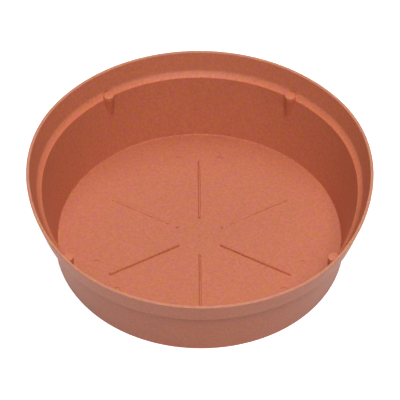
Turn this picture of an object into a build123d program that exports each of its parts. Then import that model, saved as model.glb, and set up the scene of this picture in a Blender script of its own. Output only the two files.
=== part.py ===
from build123d import *
import os

os.makedirs("parts", exist_ok=True)

# A deep plant saucer, moulded in one shot. Lengths are in millimetres and angles in degrees.
# Levels are heights above the surface that the saucer stands on, radii are from its upright axis.
# +Y points away from the front, and angles are counted from +X towards +Y.

# Overall sizes
rim_radius = 110.0
height = 59.0
wall = 1.8

# Rim band, which opens outwards above the stacking ledge
rim_width = 1.8
rim_bevel = 0.35
band_flare = 4.65
ledge_depth = 11.4

# Stacking ledge, a sloping step round the inside
ledge_width = 3.25
ledge_drop = 3.2
ledge_round = 0.8

# Shoulder round the outside, whose edge sits in the band of the next saucer down in a stack
shoulder_depth = 16.6
shoulder_step = 3.0

# Lower wall and floor, with the rounded corner between them
wall_flare = 10.85
floor_thickness = 1.9
floor_round = 1.2

# Foot under the wall, and the ring inside it that stiffens the floor
foot_height = 1.8
foot_width = 3.0
foot_bevel = 0.6
ring_inset = 21.25
ring_width = 1.4
ring_clearance = 0.4

# Sprue under the centre, and the small sink mark above it
sprue_radius = 1.2
sink_radius = 0.9
sink_depth = 0.3

# Raised ribs that hold a pot clear of the floor, of which the two towards the back are low
rib_width = 1.5
rib_taper_angle = 9.0
tall_rib_height = 1.5
tall_rib_start = 15.3
tall_rib_inset = 23.85
tall_rib_angles = (90.0, 210.0, 270.0, 330.0)
low_rib_height = 0.6
low_rib_start = 22.0
low_rib_inset = 25.95
low_rib_angles = (30.0, 150.0)

# Gate pips, in line with the low ribs
pip_radius = 0.8
pip_height = 0.9
pip_place = 16.2

# Round marks that ejector pins leave on the floor, in pairs astride three of the tall ribs
mark_radius = 2.2
mark_depth = 0.25
mark_inset = 20.65
mark_offset_angle = 11.0
mark_centre_angles = (90.0, 210.0, 330.0)

# Round pads on the ledge, where ejector pins push the moulding off its core
pad_radius = 3.5
pad_reach = 3.6
pad_drop = 0.9
pad_angles = (55.0, 125.0, 215.0, 325.0)

# The most of a side that the rounding of one of its corners may take
round_share = 0.4

# Where the axis and the standing surface are, and the rounding of a corner that is left sharp
on_axis = 0.0
ground = 0.0
sharp = 0.0

# Levels and radii that follow from the sizes above
ledge_outer_level = height - ledge_depth
ledge_inner_level = ledge_outer_level - ledge_drop
shoulder_level = height - shoulder_depth
underside_level = foot_height
floor_level = underside_level + floor_thickness
rim_inner_radius = rim_radius - rim_width
ledge_outer_radius = rim_inner_radius - band_flare
ledge_inner_radius = ledge_outer_radius - ledge_width
floor_radius = ledge_inner_radius - wall_flare
wall_slope_share = wall_flare / (ledge_inner_level - floor_level)
level_wall = wall * (1 + wall_slope_share**2) ** 0.5


def lower_wall_radius(level):
    """The outside radius of the lower wall, whose sides are parallel."""
    return ledge_inner_radius - (ledge_inner_level - level) * wall_slope_share + level_wall


def eased(rounding, side):
    """The rounding of a corner, limited by the side beside it."""
    return min(rounding, side * round_share)


shoulder_inner_radius = lower_wall_radius(shoulder_level)
shoulder_radius = shoulder_inner_radius + shoulder_step
foot_outer_radius = lower_wall_radius(foot_bevel)
foot_inner_radius = foot_outer_radius - foot_width
ring_inner_radius = floor_radius - ring_inset - ring_width / 2
ring_outer_radius = ring_inner_radius + ring_width
sprue_level = underside_level / 2
sink_level = floor_level - sink_depth
pad_place = ledge_inner_radius - pad_reach + pad_radius
pad_level = ledge_outer_level - pad_drop
pad_foot_level = ledge_inner_level - (pad_reach + wall / 2) / wall_slope_share

# Corners of the turned section, each with its radius, its level and its rounding
inside_corners = [
    (on_axis, sink_level, sharp),
    (sink_radius, sink_level, sharp),
    (sink_radius, floor_level, sharp),
    (floor_radius, floor_level, floor_round),
    (ledge_inner_radius, ledge_inner_level, eased(ledge_round, ledge_width)),
    (ledge_outer_radius, ledge_outer_level, eased(ledge_round, ledge_width)),
]
rim_corners = [
    (rim_inner_radius, height - rim_bevel, sharp),
    (rim_inner_radius + rim_bevel, height, sharp),
    (rim_radius - rim_bevel, height, sharp),
    (rim_radius, height - rim_bevel, sharp),
]
outside_corners = [
    (shoulder_radius, shoulder_level, sharp),
    (shoulder_inner_radius, shoulder_level, sharp),
    (foot_outer_radius, foot_bevel, sharp),
    (foot_outer_radius - foot_bevel, ground, sharp),
]
underside_corners = [
    (foot_inner_radius, ground, sharp),
    (foot_inner_radius, underside_level, sharp),
    (ring_outer_radius, underside_level, sharp),
    (ring_outer_radius, ring_clearance, sharp),
    (ring_inner_radius, ring_clearance, sharp),
    (ring_inner_radius, underside_level, sharp),
    (sprue_radius, underside_level, sharp),
    (sprue_radius, sprue_level, sharp),
    (on_axis, sprue_level, sharp),
]


def turned(corners):
    """A solid turned about the upright axis from the corners of its section."""
    points = [(radius, level) for radius, level, rounding in corners]
    roundings = [rounding for radius, level, rounding in corners]
    outline = FilletPolyline(*points, radius=roundings, close=True)
    return revolve(Plane.XZ * make_face(outline), Axis.Z)


def placed(shape, radius, angle, level):
    """The shape moved out from the axis, up to its level and round to its angle."""
    return Rot(Z=angle) * Pos(radius, on_axis, level) * shape


def post(radius, post_height):
    """A round post that stands on its lower end."""
    return Cylinder(radius, post_height, align=(Align.CENTER, Align.CENTER, Align.MIN))


def moulding():
    """The bowl with its band, ledge, shoulder, foot and ring, turned as one section."""
    return turned(inside_corners + rim_corners + outside_corners + underside_corners)


def pads():
    """The pads, which grow out of the lower wall and end inside its thickness."""
    mid_wall = [(radius - wall / 2, level, sharp) for radius, level, rounding in outside_corners]
    top = [(on_axis, height, sharp), (rim_radius - wall / 2, height, sharp)]
    bottom = [(on_axis, ground, sharp)]
    pad = post(pad_radius, pad_level - pad_foot_level)
    whole = [placed(pad, pad_place, angle, pad_foot_level) for angle in pad_angles]
    return turned(top + mid_wall + bottom) & whole


def pin_paths():
    """The way of each ejector pin above its pad, which notches the ledge and the band."""
    path = post(pad_radius, height - pad_level)
    return [placed(path, pad_place, angle, pad_level) for angle in pad_angles]


def ribs(start, end, rib_height, angles):
    """Radial ribs with drafted sides and ends."""
    bar = extrude(Rectangle(end - start, rib_width), rib_height, taper=rib_taper_angle)
    return [placed(bar, (start + end) / 2, angle, floor_level) for angle in angles]


def pips():
    pip = post(pip_radius, pip_height)
    return [placed(pip, pip_place, angle, floor_level) for angle in low_rib_angles]


def floor_marks():
    mark = post(mark_radius, mark_depth)
    angles = [centre + side * mark_offset_angle for centre in mark_centre_angles for side in (-1, 1)]
    return [placed(mark, floor_radius - mark_inset, angle, floor_level - mark_depth) for angle in angles]


saucer = moulding() - pin_paths() + pads()
saucer += ribs(tall_rib_start, floor_radius - tall_rib_inset, tall_rib_height, tall_rib_angles)
saucer += ribs(low_rib_start, floor_radius - low_rib_inset, low_rib_height, low_rib_angles)
saucer += pips()
saucer -= floor_marks()

export_step(saucer, "parts/saucer.step")
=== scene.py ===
import math

import bmesh
import bpy
from mathutils import Matrix, Vector


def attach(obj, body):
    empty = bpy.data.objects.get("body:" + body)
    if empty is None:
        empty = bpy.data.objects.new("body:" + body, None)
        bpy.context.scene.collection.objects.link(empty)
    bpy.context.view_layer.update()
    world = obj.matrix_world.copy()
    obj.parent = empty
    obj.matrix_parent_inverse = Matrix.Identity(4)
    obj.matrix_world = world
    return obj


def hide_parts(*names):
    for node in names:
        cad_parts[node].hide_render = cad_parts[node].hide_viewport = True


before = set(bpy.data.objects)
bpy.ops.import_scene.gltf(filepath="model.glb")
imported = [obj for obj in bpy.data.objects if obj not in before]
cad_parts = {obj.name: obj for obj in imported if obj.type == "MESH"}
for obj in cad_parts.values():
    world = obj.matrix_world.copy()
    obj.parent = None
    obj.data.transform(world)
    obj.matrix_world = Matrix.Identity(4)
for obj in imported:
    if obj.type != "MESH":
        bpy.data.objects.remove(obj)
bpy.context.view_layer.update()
scene = bpy.context.scene
print("frame loaded:", sorted(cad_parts))

# Lengths are in metres and angles in degrees. +Y points away from the viewer, +Z up,
# and angles round the bowl are counted from +X towards +Y.


def addNode(tree, kind, inputs=None, **settings):
    node = tree.nodes.new(kind)
    for setting, value in settings.items():
        setattr(node, setting, value)
    for socket, value in (inputs or {}).items():
        if isinstance(value, bpy.types.NodeSocket):
            tree.links.new(value, node.inputs[socket])
        else:
            node.inputs[socket].default_value = value
    return node


def firstOutput(tree, kind, inputs=None, **settings):
    return addNode(tree, kind, inputs, **settings).outputs[0]


def maths(tree, operation, first, second=0.0):
    return firstOutput(tree, "ShaderNodeMath", {0: first, 1: second}, operation=operation)


def newTree(name, sockets):
    tree = bpy.data.node_groups.new(name, "GeometryNodeTree")
    for socket, kind in sockets:
        tree.interface.new_socket(socket, in_out="INPUT", socket_type="NodeSocket" + kind)
    tree.interface.new_socket("Geometry", in_out="OUTPUT", socket_type="NodeSocketGeometry")
    return tree, addNode(tree, "NodeGroupInput").outputs


# Camera, at the angle of the photograph, with a long lens from well back
camera = {
    "lens": 383.06,  # this and the sensor are in millimetres
    "sensor": 36.0,
    "distance": 2.64,
    "elevation": 46.517,
    "azimuth": -1.0,
    "roll": 0.842,
    "target": (-0.00015, 0.0, 0.03704),
}


def makeCamera(sizes):
    elevation = math.radians(sizes["elevation"])
    azimuth = math.radians(sizes["azimuth"])
    roll = math.radians(sizes["roll"])
    level = math.cos(elevation)
    right = Vector((math.cos(azimuth), math.sin(azimuth), 0))
    back = Vector((right.y * level, -right.x * level, math.sin(elevation)))
    up = back.cross(right)
    across = right * math.cos(roll) + up * math.sin(roll)
    upward = up * math.cos(roll) - right * math.sin(roll)
    lensData = bpy.data.cameras.new("camera")
    lensData.lens = sizes["lens"]
    lensData.sensor_width = sizes["sensor"]
    shot = bpy.data.objects.new("camera", lensData)
    turn = Matrix((across, upward, back)).transposed().to_4x4()
    place = Vector(sizes["target"]) + back * sizes["distance"]
    shot.matrix_world = Matrix.Translation(place) @ turn
    scene.collection.objects.link(shot)
    scene.camera = shot


makeCamera(camera)
print("camera placed")

# The bowl. Its section is a table of corners, each with its radius, its level and its rounding.
bowl = {
    "rimRadius": 0.1102,
    "height": 0.059,
    "wall": 0.0018,
    "rimWidth": 0.002,
    "rimInnerRound": 0.00045,
    "rimOuterRound": 0.0005,
    "bandFlare": 0.00465,
    "ledgeDepth": 0.0114,
    "ledgeWidth": 0.00325,
    "ledgeDrop": 0.0032,
    "ledgeRound": 0.0008,
    "ledgeHollow": 0.004,  # rounding where the ledge runs up into the band
    "shoulderDepth": 0.0166,
    "shoulderStep": 0.003,
    "shoulderRound": 0.0004,
    "wallFlare": 0.01085,
    "floorThickness": 0.0019,
    "floorRound": 0.0008,
    "footHeight": 0.0018,
    "footWidth": 0.003,
    "footRound": 0.0007,
    "ringInset": 0.02125,
    "ringWidth": 0.0014,
    "ringClearance": 0.0004,
    "sprueRadius": 0.0012,
    "sinkRadius": 0.0009,
    "sinkDepth": 0.0003,
    "smallRound": 0.0003,  # corners too small to have a size of their own
}

# How fine the moulding's surface is
fineness = {
    "stepsRound": 240,
    "arcPoints": 5,
    "run": 0.006,  # longest stretch between two points of the section
    "margin": 0.00035,  # from a rounding to the next point, which keeps the flats flat
    "weld": 0.000001,  # points of the turned section this close become one
    "postSides": 64,
    "bevelSteps": 3,
    "sharpAngle": 38.0,  # faces that meet at more than this keep a sharp edge
}

ledgeOuterLevel = bowl["height"] - bowl["ledgeDepth"]
ledgeInnerLevel = ledgeOuterLevel - bowl["ledgeDrop"]
shoulderLevel = bowl["height"] - bowl["shoulderDepth"]
floorLevel = bowl["footHeight"] + bowl["floorThickness"]
rimInnerRadius = bowl["rimRadius"] - bowl["rimWidth"]
ledgeOuterRadius = rimInnerRadius - bowl["bandFlare"]
ledgeInnerRadius = ledgeOuterRadius - bowl["ledgeWidth"]
floorRadius = ledgeInnerRadius - bowl["wallFlare"]
wallSlope = bowl["wallFlare"] / (ledgeInnerLevel - floorLevel)
levelWall = bowl["wall"] * math.hypot(1, wallSlope)


def lowerWallRadius(level):
    return ledgeInnerRadius - (ledgeInnerLevel - level) * wallSlope + levelWall


shoulderRadius = lowerWallRadius(shoulderLevel) + bowl["shoulderStep"]


def outsideRadius(level):
    if level < shoulderLevel:
        return lowerWallRadius(level)
    climb = (level - shoulderLevel) / bowl["shoulderDepth"]
    return shoulderRadius + (bowl["rimRadius"] - shoulderRadius) * climb


def bowlSection(sizes):
    small = sizes["smallRound"]
    footRadius = lowerWallRadius(0)
    footInner = footRadius - sizes["footWidth"]
    ringInner = floorRadius - sizes["ringInset"] - sizes["ringWidth"] / 2
    ringOuter = ringInner + sizes["ringWidth"]
    sprueLevel = sizes["footHeight"] / 2
    return [
        (0, floorLevel - sizes["sinkDepth"], 0),
        (sizes["sinkRadius"], floorLevel - sizes["sinkDepth"], 0),
        (sizes["sinkRadius"], floorLevel, 0),
        (floorRadius, floorLevel, sizes["floorRound"]),
        (ledgeInnerRadius, ledgeInnerLevel, sizes["ledgeRound"]),
        (ledgeOuterRadius, ledgeOuterLevel, sizes["ledgeHollow"]),
        (rimInnerRadius, sizes["height"], sizes["rimInnerRound"]),
        (sizes["rimRadius"], sizes["height"], sizes["rimOuterRound"]),
        (shoulderRadius, shoulderLevel, sizes["shoulderRound"]),
        (shoulderRadius - sizes["shoulderStep"], shoulderLevel, small),
        (footRadius, 0, sizes["footRound"]),
        (footInner, 0, small),
        (footInner, sizes["footHeight"], small),
        (ringOuter, sizes["footHeight"], small),
        (ringOuter, sizes["ringClearance"], small),
        (ringInner, sizes["ringClearance"], small),
        (ringInner, sizes["footHeight"], small),
        (sizes["sprueRadius"], sizes["footHeight"], 0),
        (sizes["sprueRadius"], sprueLevel, small / 2),
        (0, sprueLevel, 0),
    ]


def spacedSection(corners, run, margin):
    points = [Vector(corner[:2]) for corner in corners]
    reach = [0.0]  # how far each rounding takes up the sides beside it
    for before, point, after, corner in zip(points, points[1:], points[2:], corners[1:]):
        turn = (point - before).angle(after - point)
        reach.append(corner[2] * math.tan(turn / 2))
    reach.append(0.0)
    spaced = []
    for index, corner in enumerate(corners[:-1]):
        start, end = points[index], points[index + 1]
        length = (end - start).length
        first = reach[index] + margin
        room = length - reach[index + 1] - margin - first
        spaced.append(corner)
        if room > margin:
            pieces = math.ceil(room / run)
            for step in range(pieces + 1):
                place = start.lerp(end, (first + room * step / pieces) / length)
                spaced.append((place.x, place.y, 0))
    return spaced + corners[-1:]


def sectionObject(corners):
    mesh = bpy.data.meshes.new("section")
    edges = [(index, index + 1) for index in range(len(corners) - 1)]
    mesh.from_pydata([(radius, 0, level) for radius, level, rounding in corners], edges, [])
    roundings = mesh.attributes.new("rounding", "FLOAT", "POINT")
    for place, corner in zip(roundings.data, corners):
        place.value = corner[2]
    section = bpy.data.objects.new("saucerMoulding", mesh)
    scene.collection.objects.link(section)
    return section


moulding = sectionObject(spacedSection(bowlSection(bowl), fineness["run"], fineness["margin"]))
print("section drawn:", len(moulding.data.vertices), "points")

# Small features, each made once on the +X side and then copied round the axis.
# Each row of copies is its first angle, the angle between two copies and how many there are.
ribs = {
    "width": 0.0015,
    "draft": 9.0,
    "edgeRound": 0.00042,
    "tallHeight": 0.0015,
    "tallStart": 0.0153,
    "tallInset": 0.02385,
    "frontCopies": (210.0, 60.0, 3),
    "backCopies": (90.0, 60.0, 1),
    "lowHeight": 0.0005,
    "lowStart": 0.022,
    "lowInset": 0.02595,
    "lowCopies": (30.0, 120.0, 2),
}
pips = {
    "radius": 0.0008,
    "height": 0.0009,
    "place": 0.0162,
    "edgeRound": 0.00035,
    "copies": (30.0, 120.0, 2),
}
marks = {
    "radius": 0.0022,
    "depth": 0.00035,
    "inset": 0.02065,
    "leftCopies": (79.0, 120.0, 3),
    "rightCopies": (101.0, 120.0, 3),
}
pads = {
    "radius": 0.0035,
    "reach": 0.0036,
    "drop": 0.0009,
    "edgeRound": 0.0003,
    "notchGap": 0.00004,  # the notch is cut this much wider and deeper than the pad
    "rows": 12,
    "backCopies": (55.0, 70.0, 2),
    "frontCopies": (215.0, 110.0, 2),
}
sunk = 0.0006  # how far a feature goes into the surface that it stands on


def featureObject(name, work):
    mesh = bpy.data.meshes.new(name)
    work.to_mesh(mesh)
    work.free()
    feature = bpy.data.objects.new(name, mesh)
    scene.collection.objects.link(feature)
    return feature


def roundEdges(work, edges, radius):
    steps = fineness["bevelSteps"]
    bmesh.ops.bevel(work, geom=edges, offset=radius, segments=steps, profile=0.5, affect="EDGES")


def ribObject(name, start, end, height):
    work = bmesh.new()
    bmesh.ops.create_cube(work, size=2)
    lean = math.tan(math.radians(ribs["draft"]))
    for corner in work.verts:
        above = height if corner.co.z > 0 else -sunk
        corner.co.x = (start + end) / 2 + corner.co.x * ((end - start) / 2 - above * lean)
        corner.co.y *= ribs["width"] / 2 - above * lean
        corner.co.z = floorLevel + above
    outer = [edge for edge in work.edges if any(point.co.z > floorLevel for point in edge.verts)]
    roundEdges(work, outer, ribs["edgeRound"])
    return featureObject(name, work)


def postObject(name, radius, place, bottom, top, edgeRound=0.0):
    work = bmesh.new()
    bmesh.ops.create_cone(
        work,
        cap_ends=True,
        segments=fineness["postSides"],
        radius1=radius,
        radius2=radius,
        depth=top - bottom,
        matrix=Matrix.Translation((place, 0, (bottom + top) / 2)),
    )
    if edgeRound:
        limit = top - edgeRound / 2
        upper = [edge for edge in work.edges if all(point.co.z > limit for point in edge.verts)]
        roundEdges(work, upper, edgeRound)
    return featureObject(name, work)


padPlace = ledgeInnerRadius - pads["reach"] + pads["radius"]
padLevel = ledgeOuterLevel - pads["drop"]
padFootLevel = ledgeInnerLevel - (pads["reach"] + bowl["wall"] / 2) / wallSlope


def isUpright(edge):
    return abs(edge.verts[0].co.z - edge.verts[1].co.z) > pads["reach"]


def padObject():
    pad = postObject("pad", pads["radius"], padPlace, padFootLevel, padLevel, pads["edgeRound"])
    work = bmesh.new()
    work.from_mesh(pad.data)
    upright = [edge for edge in work.edges if isUpright(edge)]
    bmesh.ops.subdivide_edges(work, edges=upright, cuts=pads["rows"])
    for point in work.verts:  # the back of the pad ends inside the wall
        limit = outsideRadius(point.co.z) - bowl["wall"] / 2
        distance = math.hypot(point.co.x, point.co.y)
        if distance > limit:
            point.co.x *= limit / distance
            point.co.y *= limit / distance
    work.to_mesh(pad.data)
    work.free()
    return pad


def features():
    tallEnd = floorRadius - ribs["tallInset"]
    lowEnd = floorRadius - ribs["lowInset"]
    pipTop = floorLevel + pips["height"]
    markPlace = floorRadius - marks["inset"]
    markBottom = floorLevel - marks["depth"]
    pathRadius = pads["radius"] + pads["notchGap"]
    pathBottom = padLevel - pads["notchGap"]
    tallRib = ribObject("tallRib", ribs["tallStart"], tallEnd, ribs["tallHeight"])
    lowRib = ribObject("lowRib", ribs["lowStart"], lowEnd, ribs["lowHeight"])
    pip = postObject(
        "pip", pips["radius"], pips["place"], floorLevel - sunk, pipTop, pips["edgeRound"]
    )
    mark = postObject("mark", marks["radius"], markPlace, markBottom, floorLevel + sunk)
    pinPath = postObject("pinPath", pathRadius, padPlace, pathBottom, bowl["height"] + sunk)
    pad = padObject()
    cuts = [
        ("Back Pin Paths", pinPath, pads["backCopies"]),
        ("Front Pin Paths", pinPath, pads["frontCopies"]),
        ("Left Marks", mark, marks["leftCopies"]),
        ("Right Marks", mark, marks["rightCopies"]),
    ]
    additions = [
        ("Front Ribs", tallRib, ribs["frontCopies"]),
        ("Back Rib", tallRib, ribs["backCopies"]),
        ("Low Ribs", lowRib, ribs["lowCopies"]),
        ("Gate Pips", pip, pips["copies"]),
        ("Back Pads", pad, pads["backCopies"]),
        ("Front Pads", pad, pads["frontCopies"]),
    ]
    return cuts, additions


def copiesTree():
    sockets = [("Shape", "Geometry"), ("First Angle", "Float"), ("Step Angle", "Float")]
    tree, given = newTree("copies round the axis", sockets + [("Count", "Int")])
    points = firstOutput(tree, "GeometryNodePoints", {"Count": given["Count"]})
    index = firstOutput(tree, "GeometryNodeInputIndex")
    steps = maths(tree, "MULTIPLY", index, given["Step Angle"])
    angle = maths(tree, "RADIANS", maths(tree, "ADD", steps, given["First Angle"]))
    turn = firstOutput(tree, "ShaderNodeCombineXYZ", {"Z": angle})
    placed = firstOutput(
        tree,
        "GeometryNodeInstanceOnPoints",
        {"Points": points, "Instance": given["Shape"], "Rotation": turn},
    )
    real = firstOutput(tree, "GeometryNodeRealizeInstances", {"Geometry": placed})
    addNode(tree, "NodeGroupOutput", {0: real})
    return tree


# Where the painted highlights go: on the ledge, with a margin all round it, and along the top of
# the lip
paintedHighlights = {
    "lipDepth": 0.0006,
    "ledgeMargin": 0.0005,
}

# The moulding in the photograph is pressed in a little at both sides, most at the rim
squeeze = {
    "right": 0.0038,
    "left": 0.0028,
    "angle": 78.0,  # from the front, to each side
    "width": 48.0,
    "power": 0.5,
}


def turnedSection(tree, given):
    sweepRadius = bowl["rimRadius"]
    line = firstOutput(tree, "GeometryNodeMeshToCurve", {"Mesh": given["Section"]})
    rounding = firstOutput(
        tree, "GeometryNodeInputNamedAttribute", {"Name": "rounding"}, data_type="FLOAT"
    )
    outline = firstOutput(
        tree,
        "GeometryNodeFilletCurve",
        {"Curve": line, "Count": given["Arc Points"], "Radius": rounding},
        mode="POLY",
    )
    laidFlat = firstOutput(
        tree,
        "GeometryNodeTransform",
        {
            "Geometry": outline,
            "Rotation": (math.pi / 2, 0, 0),
            "Translation": (-sweepRadius, 0, 0),
        },
    )
    circle = firstOutput(
        tree,
        "GeometryNodeCurvePrimitiveCircle",
        {"Resolution": given["Steps Round"], "Radius": sweepRadius},
    )
    swept = firstOutput(
        tree, "GeometryNodeCurveToMesh", {"Curve": circle, "Profile Curve": laidFlat}
    )
    weld = {"Geometry": swept, "Distance": fineness["weld"]}
    return firstOutput(tree, "GeometryNodeMergeByDistance", weld)


# Notches and pin marks are cut first, then ribs, pips and pads are joined on
def withFeatures(tree, given, turned, cuts, additions):
    copies = copiesTree()

    def placedRow(name):
        shape = addNode(tree, "GeometryNodeObjectInfo", {"Object": given[name + " Shape"]})
        group = addNode(tree, "GeometryNodeGroup", node_tree=copies)
        tree.links.new(shape.outputs["Geometry"], group.inputs["Shape"])
        for size in ("First Angle", "Step Angle", "Count"):
            tree.links.new(given[name + " " + size], group.inputs[size])
        return group.outputs[0]

    kind = "GeometryNodeMeshBoolean"
    cut = addNode(tree, kind, {"Mesh 1": turned}, operation="DIFFERENCE", solver="MANIFOLD")
    for row in cuts:
        tree.links.new(placedRow(row[0]), cut.inputs["Mesh 2"])
    joined = addNode(tree, kind, operation="UNION", solver="MANIFOLD")
    tree.links.new(cut.outputs[0], joined.inputs["Mesh 2"])
    for row in additions:
        tree.links.new(placedRow(row[0]), joined.inputs["Mesh 2"])
    return joined.outputs[0]


# The ledge gets a painted highlight, fading towards its upper edge, and the top of the lip a pale
# painted highlight
def withPaintedHighlights(tree, given, shape, parts, outward):
    radius = addNode(tree, "ShaderNodeVectorMath", {0: outward}, operation="LENGTH")
    low = maths(tree, "SUBTRACT", given["Ledge Inner Level"], given["Ledge Margin"])
    high = maths(tree, "ADD", given["Ledge Outer Level"], given["Ledge Margin"])
    reach = maths(tree, "ADD", given["Ledge Outer Radius"], given["Ledge Margin"])
    above = maths(tree, "GREATER_THAN", parts["Z"], low)
    within = maths(tree, "LESS_THAN", radius.outputs["Value"], reach)
    fade = firstOutput(
        tree,
        "ShaderNodeMapRange",
        {"Value": parts["Z"], "From Min": high, "From Max": given["Ledge Inner Level"]},
        interpolation_type="SMOOTHSTEP",
    )
    onLedge = maths(tree, "MULTIPLY", maths(tree, "MULTIPLY", above, fade), within)
    lipLevel = maths(tree, "SUBTRACT", given["Height"], given["Lip Depth"])
    onLip = maths(tree, "GREATER_THAN", parts["Z"], lipLevel)
    # stores the masks of the painted highlights, the ledge's and the lip's
    for name, where in (("rubbed", onLedge), ("scuffed", onLip)):
        shape = firstOutput(
            tree,
            "GeometryNodeStoreNamedAttribute",
            {"Geometry": shape, "Name": name, "Value": where},
            data_type="FLOAT",
            domain="POINT",
        )
    return shape


def squeezed(tree, given, shape, parts, outward):
    front = maths(tree, "MULTIPLY", parts["Y"], -1.0)
    angle = maths(tree, "ABSOLUTE", maths(tree, "ARCTAN2", parts["X"], front))
    middle = maths(tree, "RADIANS", given["Squeeze Angle"])
    away = maths(tree, "ABSOLUTE", maths(tree, "SUBTRACT", angle, middle))
    width = maths(tree, "RADIANS", given["Squeeze Width"])
    bump = firstOutput(
        tree,
        "ShaderNodeMapRange",
        {"Value": away, "From Min": width, "From Max": 0.0},
        interpolation_type="SMOOTHSTEP",
    )
    rise = maths(tree, "MAXIMUM", maths(tree, "DIVIDE", parts["Z"], given["Height"]), 0.0)
    climb = maths(tree, "POWER", rise, given["Squeeze Power"])
    onRight = maths(tree, "GREATER_THAN", parts["X"])
    ends = {"To Min": given["Squeeze Left"], "To Max": given["Squeeze Right"]}
    amount = firstOutput(tree, "ShaderNodeMapRange", {"Value": onRight} | ends)
    depth = maths(tree, "MULTIPLY", maths(tree, "MULTIPLY", bump, climb), amount)
    inward = maths(tree, "MULTIPLY", depth, -1.0)
    unit = firstOutput(tree, "ShaderNodeVectorMath", {0: outward}, operation="NORMALIZE")
    offset = firstOutput(
        tree, "ShaderNodeVectorMath", {0: unit, "Scale": inward}, operation="SCALE"
    )
    return firstOutput(tree, "GeometryNodeSetPosition", {"Geometry": shape, "Offset": offset})


def smoothShaded(tree, given, shape):
    kind = "GeometryNodeSetShadeSmooth"
    smooth = firstOutput(tree, kind, {"Geometry": shape, "Shade Smooth": True})
    edgeAngle = firstOutput(tree, "GeometryNodeInputMeshEdgeAngle")  # the unsigned one
    limit = maths(tree, "RADIANS", given["Sharp Angle"])
    sharp = maths(tree, "GREATER_THAN", edgeAngle, limit)
    choice = {"Geometry": smooth, "Selection": sharp, "Shade Smooth": False}
    return firstOutput(tree, kind, choice, domain="EDGE")


def mouldingTree(cuts, additions, material):
    # name, kind and value of each input
    table = [
        ("Steps Round", "Int", fineness["stepsRound"]),
        ("Arc Points", "Int", fineness["arcPoints"]),
        ("Squeeze Right", "Float", squeeze["right"]),
        ("Squeeze Left", "Float", squeeze["left"]),
        ("Squeeze Angle", "Float", squeeze["angle"]),
        ("Squeeze Width", "Float", squeeze["width"]),
        ("Squeeze Power", "Float", squeeze["power"]),
        ("Height", "Float", bowl["height"]),
        ("Lip Depth", "Float", paintedHighlights["lipDepth"]),
        ("Ledge Margin", "Float", paintedHighlights["ledgeMargin"]),
        ("Ledge Inner Level", "Float", ledgeInnerLevel),
        ("Ledge Outer Level", "Float", ledgeOuterLevel),
        ("Ledge Outer Radius", "Float", ledgeOuterRadius),
        ("Sharp Angle", "Float", fineness["sharpAngle"]),
    ]
    for name, shape, (first, step, count) in cuts + additions:
        table += [
            (name + " Shape", "Object", shape),
            (name + " First Angle", "Float", first),
            (name + " Step Angle", "Float", step),
            (name + " Count", "Int", count),
        ]
    table.append(("Material", "Material", material))
    sockets = [("Section", "Geometry")] + [row[:2] for row in table]
    tree, given = newTree("saucer moulding", sockets)

    turned = turnedSection(tree, given)
    joined = withFeatures(tree, given, turned, cuts, additions)
    position = firstOutput(tree, "GeometryNodeInputPosition")
    parts = addNode(tree, "ShaderNodeSeparateXYZ", {0: position}).outputs
    outward = firstOutput(tree, "ShaderNodeCombineXYZ", {"X": parts["X"], "Y": parts["Y"]})
    # the masks of the painted highlights on the ledge and the lip are stored here
    highlighted = withPaintedHighlights(tree, given, joined, parts, outward)
    pressed = squeezed(tree, given, highlighted, parts, outward)
    edged = smoothShaded(tree, given, pressed)
    real = firstOutput(tree, "GeometryNodeRealizeInstances", {"Geometry": edged})
    coloured = firstOutput(
        tree, "GeometryNodeSetMaterial", {"Geometry": real, "Material": given["Material"]}
    )
    addNode(tree, "NodeGroupOutput", {0: coloured})
    return tree, {name: value for name, kind, value in table}


# Terracotta-coloured polypropylene with a fine matte mould texture. The mould leaves soft blotches
# and a fine grain, and leaving the mould draws faint upright lines. The ledge is a little smoother
# and carries a painted highlight, and the top of the lip a pale painted highlight.
plastic = {
    "colour": (0.51, 0.152, 0.079),
    "paler": (0.57, 0.172, 0.089),
    # the ledge's brighter colour is a painted highlight, and the ledge there is also less rough
    "ledgeHighlightColour": (0.75, 0.212, 0.101),
    "ledgeHighlightAmount": 0.85,
    # the lip's paler colour is a painted highlight
    "lipHighlightColour": (0.62, 0.255, 0.15),
    "lipHighlightAmount": 0.8,
    "roughness": 0.5,
    "ledgeHighlightRoughness": 0.38,
    "specular": 0.25,
    "noiseRoughness": 0.55,
    "noiseLow": 0.25,  # a noise seldom leaves the span from here
    "noiseHigh": 0.75,  # to here
    "cloudScale": 26.0,
    "cloudDetail": 4.0,
    "blotchScale": 620.0,
    "blotchDetail": 2.0,
    "blotchShade": 0.12,  # how much darker or paler a blotch is
    "blotchHeight": 0.00004,
    "tintScale": 430.0,
    "tintDetail": 2.0,
    "tintSwing": (0.03, -0.11, 0.45),  # of red, green and blue, where less is the other way
    "drawScale": 380.0,
    "drawDetail": 3.0,
    "drawStretch": 0.05,  # the drawn lines' pattern is squashed upright, which makes it long
    "drawShade": 0.02,
    "grainScale": 2400.0,
    "grainDetail": 1.0,
    "grainHeight": 0.00001,
}


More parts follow.
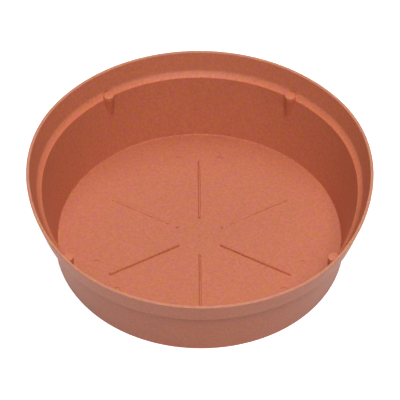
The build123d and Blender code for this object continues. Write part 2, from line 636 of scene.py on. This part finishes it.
def plasticMaterial(look):
    material = bpy.data.materials.new("terracottaPlastic")
    material.use_nodes = True
    tree = material.node_tree
    tree.nodes.clear()
    place = addNode(tree, "ShaderNodeTexCoord").outputs["Object"]
    squash = {"Vector": place, "Scale": (1, 1, look["drawStretch"])}
    squashed = firstOutput(tree, "ShaderNodeMapping", squash)

    def noise(name, vector):
        sizes = {"Vector": vector, "Roughness": look["noiseRoughness"]}
        sizes |= {"Scale": look[name + "Scale"], "Detail": look[name + "Detail"]}
        return addNode(tree, "ShaderNodeTexNoise", sizes).outputs["Fac"]

    def spread(value, amount):
        ends = {"From Min": look["noiseLow"], "From Max": look["noiseHigh"]}
        ends |= {"To Min": 1 - amount, "To Max": 1 + amount}
        return firstOutput(tree, "ShaderNodeMapRange", {"Value": value} | ends)

    def amountOf(name, share):
        there = addNode(tree, "ShaderNodeAttribute", attribute_name=name).outputs["Fac"]
        return maths(tree, "MULTIPLY", there, share)

    def mixed(amount, under, over):
        colours = {"Factor": amount, 6: under, 7: (*over, 1)}  # a Mix node's colours are 6 and 7
        return addNode(tree, "ShaderNodeMix", colours, data_type="RGBA").outputs[2]

    blotches = noise("blotch", place)
    tints = noise("tint", place)
    # mask of the painted highlight on the ledge
    ledgeHighlights = amountOf("rubbed", look["ledgeHighlightAmount"])
    # mask of the pale painted highlight along the top of the lip
    lipHighlights = amountOf("scuffed", look["lipHighlightAmount"])

    body = mixed(noise("cloud", place), (*look["colour"], 1), look["paler"])
    # the painted highlights are mixed into the body colour here: the ledge brighter, the lip paler
    highlighted = mixed(lipHighlights, mixed(ledgeHighlights, body, look["ledgeHighlightColour"]), look["lipHighlightColour"])
    drawn = spread(noise("draw", squashed), look["drawShade"])
    shade = maths(tree, "MULTIPLY", spread(blotches, look["blotchShade"]), drawn)
    shaded = firstOutput(
        tree, "ShaderNodeVectorMath", {0: highlighted, "Scale": shade}, operation="SCALE"
    )
    swings = {axis: spread(tints, swing) for axis, swing in zip("XYZ", look["tintSwing"])}
    tint = firstOutput(tree, "ShaderNodeCombineXYZ", swings)
    colour = firstOutput(
        tree, "ShaderNodeVectorMath", {0: shaded, 1: tint}, operation="MULTIPLY"
    )
    roughness = firstOutput(
        tree,
        "ShaderNodeMapRange",
        {"Value": ledgeHighlights, "To Min": look["roughness"], "To Max": look["ledgeHighlightRoughness"]},
    )
    peel = firstOutput(
        tree,
        "ShaderNodeBump",
        {"Height": blotches, "Distance": look["blotchHeight"], "Strength": 1.0},
    )
    grain = {"Height": noise("grain", place), "Distance": look["grainHeight"], "Strength": 1.0}
    bump = firstOutput(tree, "ShaderNodeBump", grain | {"Normal": peel})
    finish = {"Roughness": roughness, "Specular IOR Level": look["specular"], "Normal": bump}
    shader = firstOutput(tree, "ShaderNodeBsdfPrincipled", {"Base Color": colour} | finish)
    addNode(tree, "ShaderNodeOutputMaterial", {"Surface": shader})
    return material


def buildMoulding(section, material):
    cuts, additions = features()
    tree, values = mouldingTree(cuts, additions, material)
    modifier = section.modifiers.new("moulding", "NODES")
    modifier.node_group = tree
    for socket in tree.interface.items_tree:
        if socket.in_out == "INPUT" and socket.name in values:
            modifier[socket.identifier] = values[socket.name]
    evaluated = section.evaluated_get(bpy.context.evaluated_depsgraph_get())
    mesh = bpy.data.meshes.new_from_object(evaluated)
    section.modifiers.clear()
    section.data = mesh
    for shape in {row[1] for row in cuts + additions}:
        bpy.data.objects.remove(shape)


buildMoulding(moulding, plasticMaterial(plastic))
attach(moulding, "root")
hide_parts("saucer")
print("moulding built:", len(moulding.data.polygons), "faces")

# Pale floor and white backdrop, with four soft lamps that all point at the middle of the foot.
# A lamp's angle is 0 from the front and counts up to the right, and its height is an angle too.
studio = {
    "floorColour": (0.68, 0.68, 0.67),
    "floorRoughness": 0.9,
    "floorSpecular": 0.2,
    "floorSize": 6.0,
    "floorGlow": 0.9,  # seen by the camera and in reflections only
    "backdrop": 1.0,  # and so is this
    "ambient": 0.0,
    "lampDistance": 2.2,
    "lamps": [
        {"name": "leftLamp", "angle": -38.0, "height": 62.0, "size": 1.5, "power": 8.5},
        {"name": "rightLamp", "angle": 38.0, "height": 60.0, "size": 0.6, "power": 13.5},
        {"name": "frontLamp", "angle": 0.0, "height": 56.0, "size": 0.6, "power": 16.5},
        {"name": "backLamp", "angle": 180.0, "height": 62.0, "size": 1.2, "power": 15.5},
    ],
}
white = (1, 1, 1, 1)


def seenDirectly(tree):
    path = addNode(tree, "ShaderNodeLightPath").outputs
    seen = maths(tree, "MAXIMUM", path["Is Camera Ray"], path["Is Glossy Ray"])
    return maths(tree, "MAXIMUM", seen, path["Is Transmission Ray"])


def makeFloor(look):
    material = bpy.data.materials.new("paleFloor")
    material.use_nodes = True
    tree = material.node_tree
    tree.nodes.clear()
    finish = {"Roughness": look["floorRoughness"], "Specular IOR Level": look["floorSpecular"]}
    shader = firstOutput(
        tree, "ShaderNodeBsdfPrincipled", {"Base Color": (*look["floorColour"], 1)} | finish
    )
    glow = maths(tree, "MULTIPLY", seenDirectly(tree), look["floorGlow"])
    light = firstOutput(tree, "ShaderNodeEmission", {"Color": white, "Strength": glow})
    both = firstOutput(tree, "ShaderNodeAddShader", {0: shader, 1: light})
    addNode(tree, "ShaderNodeOutputMaterial", {"Surface": both})
    half = look["floorSize"] / 2
    mesh = bpy.data.meshes.new("floor")
    corners = [(-half, -half, 0), (half, -half, 0), (half, half, 0), (-half, half, 0)]
    mesh.from_pydata(corners, [], [(0, 1, 2, 3)])
    mesh.materials.append(material)
    floor = bpy.data.objects.new("floor", mesh)
    scene.collection.objects.link(floor)


def makeWorld(look):
    world = bpy.data.worlds.new("studio")
    scene.world = world
    world.use_nodes = True
    tree = world.node_tree
    tree.nodes.clear()
    ends = {"To Min": look["ambient"], "To Max": look["backdrop"]}
    strength = firstOutput(tree, "ShaderNodeMapRange", {"Value": seenDirectly(tree)} | ends)
    glow = {"Color": white, "Strength": strength}
    background = firstOutput(tree, "ShaderNodeBackground", glow)
    addNode(tree, "ShaderNodeOutputWorld", {"Surface": background})


def makeLamp(lamp, distance):
    data = bpy.data.lights.new(lamp["name"], "AREA")
    data.shape = "DISK"
    data.size = lamp["size"]
    data.energy = lamp["power"]
    angle, height = math.radians(lamp["angle"]), math.radians(lamp["height"])
    level = math.cos(height)
    toLamp = Vector((math.sin(angle) * level, -math.cos(angle) * level, math.sin(height)))
    fixture = bpy.data.objects.new(lamp["name"], data)
    fixture.location = toLamp * distance
    fixture.rotation_euler = toLamp.to_track_quat("Z", "Y").to_euler()
    scene.collection.objects.link(fixture)


makeFloor(studio)
makeWorld(studio)
for lamp in studio["lamps"]:
    makeLamp(lamp, studio["lampDistance"])
scene.view_settings.view_transform = "Standard"
print("studio lit")
